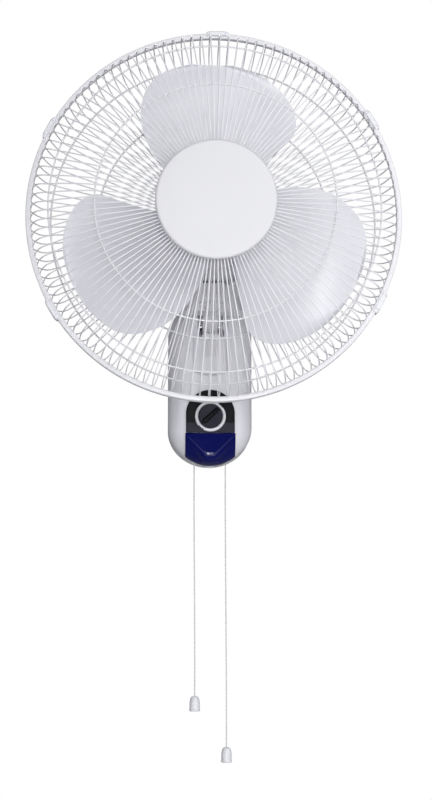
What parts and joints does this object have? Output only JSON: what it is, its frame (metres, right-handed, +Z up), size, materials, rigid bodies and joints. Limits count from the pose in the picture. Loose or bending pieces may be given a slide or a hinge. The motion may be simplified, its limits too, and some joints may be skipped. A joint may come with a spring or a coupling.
{
  "type": "wall mounted fan",
  "caption": "Oscillating wall fan with a wire guard, a paddle fan, a tilting neck on a rounded wall column, a rotary control and pull cords with bells.",
  "frame": {"origin": "middle of the column's flat back, on the wall", "axes": "+Z up, +Y into the wall, so the fan looks along -Y; +X to the viewer's right"},
  "size_m": [0.43, 0.3091, 0.8481],
  "materials": {
    "white_plastic": "satin moulded plastic, very light cool grey",
    "guard_coating": "white powder coat on steel wire",
    "clip_plastic": "satin white plastic",
    "badge_plastic": "smooth pale grey plastic",
    "blade_plastic": "pale cool grey plastic, slightly milky",
    "black_plastic": "glossy black plastic",
    "blue_plastic": "glossy deep blue tinted plastic",
    "knob_plastic": "satin dark grey plastic",
    "steel": "zinc plated steel",
    "core_steel": "stacked core plates",
    "switch_plastic": "black switch plastic",
    "cord": "white braided cord"
  },
  "bodies": {
    "base": {"rear_cover": "white_plastic", "front_housing": "white_plastic", "cable_gland": "white_plastic", "control_panel": "black_plastic", "panel_lens": "blue_plastic", "switch_bracket": "steel", "rotary_switch": "switch_plastic", "pull_switch_left": "switch_plastic", "pull_switch_right": "switch_plastic", "cord_bush_left": "white_plastic", "cord_bush_right": "white_plastic", "tilt_bracket": "steel", "tilt_pin": "steel"},
    "knob": {"control_shaft": "steel", "knob_ring": "white_plastic", "knob": "knob_plastic"},
    "pull_left": {"pull_cord_left": "cord", "pull_bell_left": "white_plastic"},
    "pull_right": {"pull_cord_right": "cord", "pull_bell_right": "white_plastic"},
    "neck": {"neck": "white_plastic", "pan_pin": "steel"},
    "link": {"link": "steel"},
    "head": {"swivel_socket": "steel", "motor_front_cover": "white_plastic", "motor_rear_cover": "white_plastic", "motor_frame": "steel", "stator_core": "core_steel", "bearing_front": "steel", "bearing_rear": "steel", "gearbox": "switch_plastic", "guard_nut": "white_plastic", "rear_guard": "guard_coating", "rear_hub_plate": "guard_coating", "rear_ring_inner": "guard_coating", "rear_ring_outer": "guard_coating", "front_guard": "guard_coating", "front_hub_plate": "guard_coating", "front_ring_inner": "guard_coating", "front_ring_outer": "guard_coating", "badge": "badge_plastic", "rim_clip_1": "clip_plastic", "rim_clip_2": "clip_plastic", "rim_clip_3": "clip_plastic", "rim_clip_4": "clip_plastic", "rim_clip_5": "clip_plastic"},
    "crank": {"crank": "steel"},
    "rotor": {"rotor_core": "core_steel", "motor_shaft": "steel", "fan_blades": "blade_plastic", "blade_nut": "white_plastic"}
  },
  "joints": [
    {"name": "tilt", "type": "hinge", "parent": "base", "child": "neck", "pos_m": [0, -0.052, 0.062], "axis": [1, 0, 0], "range_deg": [-10, 25]},
    {"name": "pan", "type": "hinge", "parent": "neck", "child": "head", "pos_m": [0, -0.118, 0.1], "axis": [0, 0, 1], "range_deg": [-40, 40]},
    {"name": "crank_turn", "type": "hinge", "parent": "head", "child": "crank", "pos_m": [-0.0086, -0.074, 0.106], "axis": [0, 0, 1], "range_deg": [-90, 90]},
    {"name": "link_swing", "type": "hinge", "parent": "neck", "child": "link", "pos_m": [-0.024, -0.118, 0.102], "axis": [0, 0, 1], "range_deg": [-40, 40]},
    {"name": "blade_spin", "type": "hinge", "parent": "head", "child": "rotor", "pos_m": [0, -0.23, 0.16], "axis": [0, 1, 0], "continuous": true},
    {"name": "knob_turn", "type": "hinge", "parent": "base", "child": "knob", "pos_m": [0, -0.08, -0.053], "axis": [0, 1, 0], "range_deg": [-45, 90]},
    {"name": "pull_left", "type": "slide", "parent": "base", "child": "pull_left", "axis": [0, 0, -1], "range_m": [0, 0.01], "stiffness_N_per_m": 400},
    {"name": "pull_right", "type": "slide", "parent": "base", "child": "pull_right", "axis": [0, 0, -1], "range_m": [0, 0.01], "stiffness_N_per_m": 400}
  ],
  "couplings": [
    {"joint": "crank_turn", "follows": "pan", "ratio": -2.25},
    {"joint": "link_swing", "follows": "pan", "ratio": 1}
  ]
}
